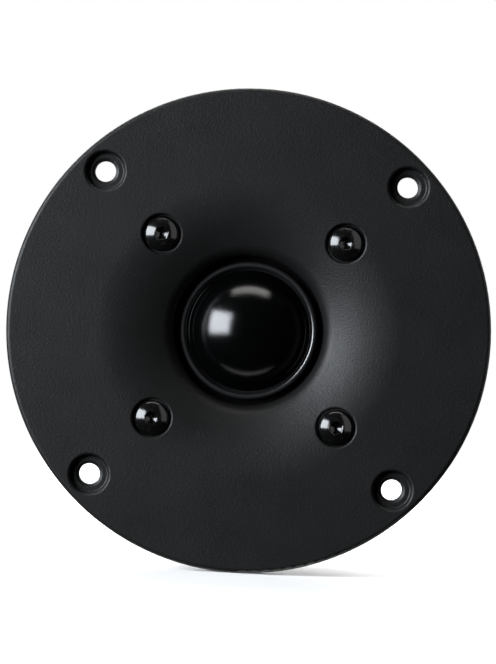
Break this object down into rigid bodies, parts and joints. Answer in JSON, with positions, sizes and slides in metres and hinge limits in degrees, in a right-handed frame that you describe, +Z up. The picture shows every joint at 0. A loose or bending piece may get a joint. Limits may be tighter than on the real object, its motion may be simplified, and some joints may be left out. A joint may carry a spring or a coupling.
{
  "type": "dome tweeter",
  "caption": "Round flange-mount dome tweeter: black faceplate with a short flare, glossy coated-fabric dome on a narrow-roll surround, ferrite ring motor and sealed rear chamber.",
  "frame": {"origin": "centre of the circle of mounting holes, in the plane where the flange seats on a baffle, on the dome's axis", "axes": "-Y is where the dome faces, +Y goes into the baffle, +Z is up with the terminals at the top, and +X is to the listener's right"},
  "size_m": [0.104, 0.052, 0.104],
  "materials": {
    "textured_black": "cast aluminium with a fine textured black coat",
    "black_steel": "black-oxide steel, glossy",
    "foam": "closed-cell foam",
    "coated_fabric": "silk weave with a glossy damping coat",
    "surround_fabric": "coated weave, satin",
    "aluminium": "thin foil",
    "copper": "copper",
    "black_plastic": "moulded, fine grain",
    "tinned_brass": "tin-plated brass",
    "red_fibre": "vulcanised fibre",
    "rivet_brass": "plain brass",
    "solder": "tin solder, satin",
    "plated_steel": "zinc-plated mild steel",
    "ferrite": "ground sintered ferrite",
    "felt": "pressed wool felt",
    "wadding": "polyester fibre"
  },
  "bodies": {
    "root": {"faceplate": "textured_black", "faceplate_screws": "black_steel", "mounting_gasket": "foam", "surround": "surround_fabric", "carrier_ring": "black_plastic", "terminal_positive": "tinned_brass", "terminal_negative": "tinned_brass", "polarity_washer": "red_fibre", "terminal_rivets": "rivet_brass", "lead_wires": "copper", "solder_joints": "solder", "front_plate": "plated_steel", "magnet": "ferrite", "back_plate": "plated_steel", "pole_piece": "plated_steel", "copper_cap": "copper", "dome_felt": "felt", "surround_felt": "felt", "vent_plug": "foam", "chamber_gasket": "foam", "rear_chamber": "black_plastic", "chamber_wadding": "wadding", "chamber_screws": "black_steel"},
    "diaphragm": {"dome": "coated_fabric", "voice_coil_former": "aluminium", "voice_coil": "copper"}
  },
  "joints": [
    {"name": "diaphragm_travel", "type": "slide", "parent": "root", "child": "diaphragm", "axis": [0, -1, 0], "range_m": [-0.0006, 0.0006], "stiffness_N_per_m": 100, "deforming": ["surround", "lead_wires"]}
  ]
}
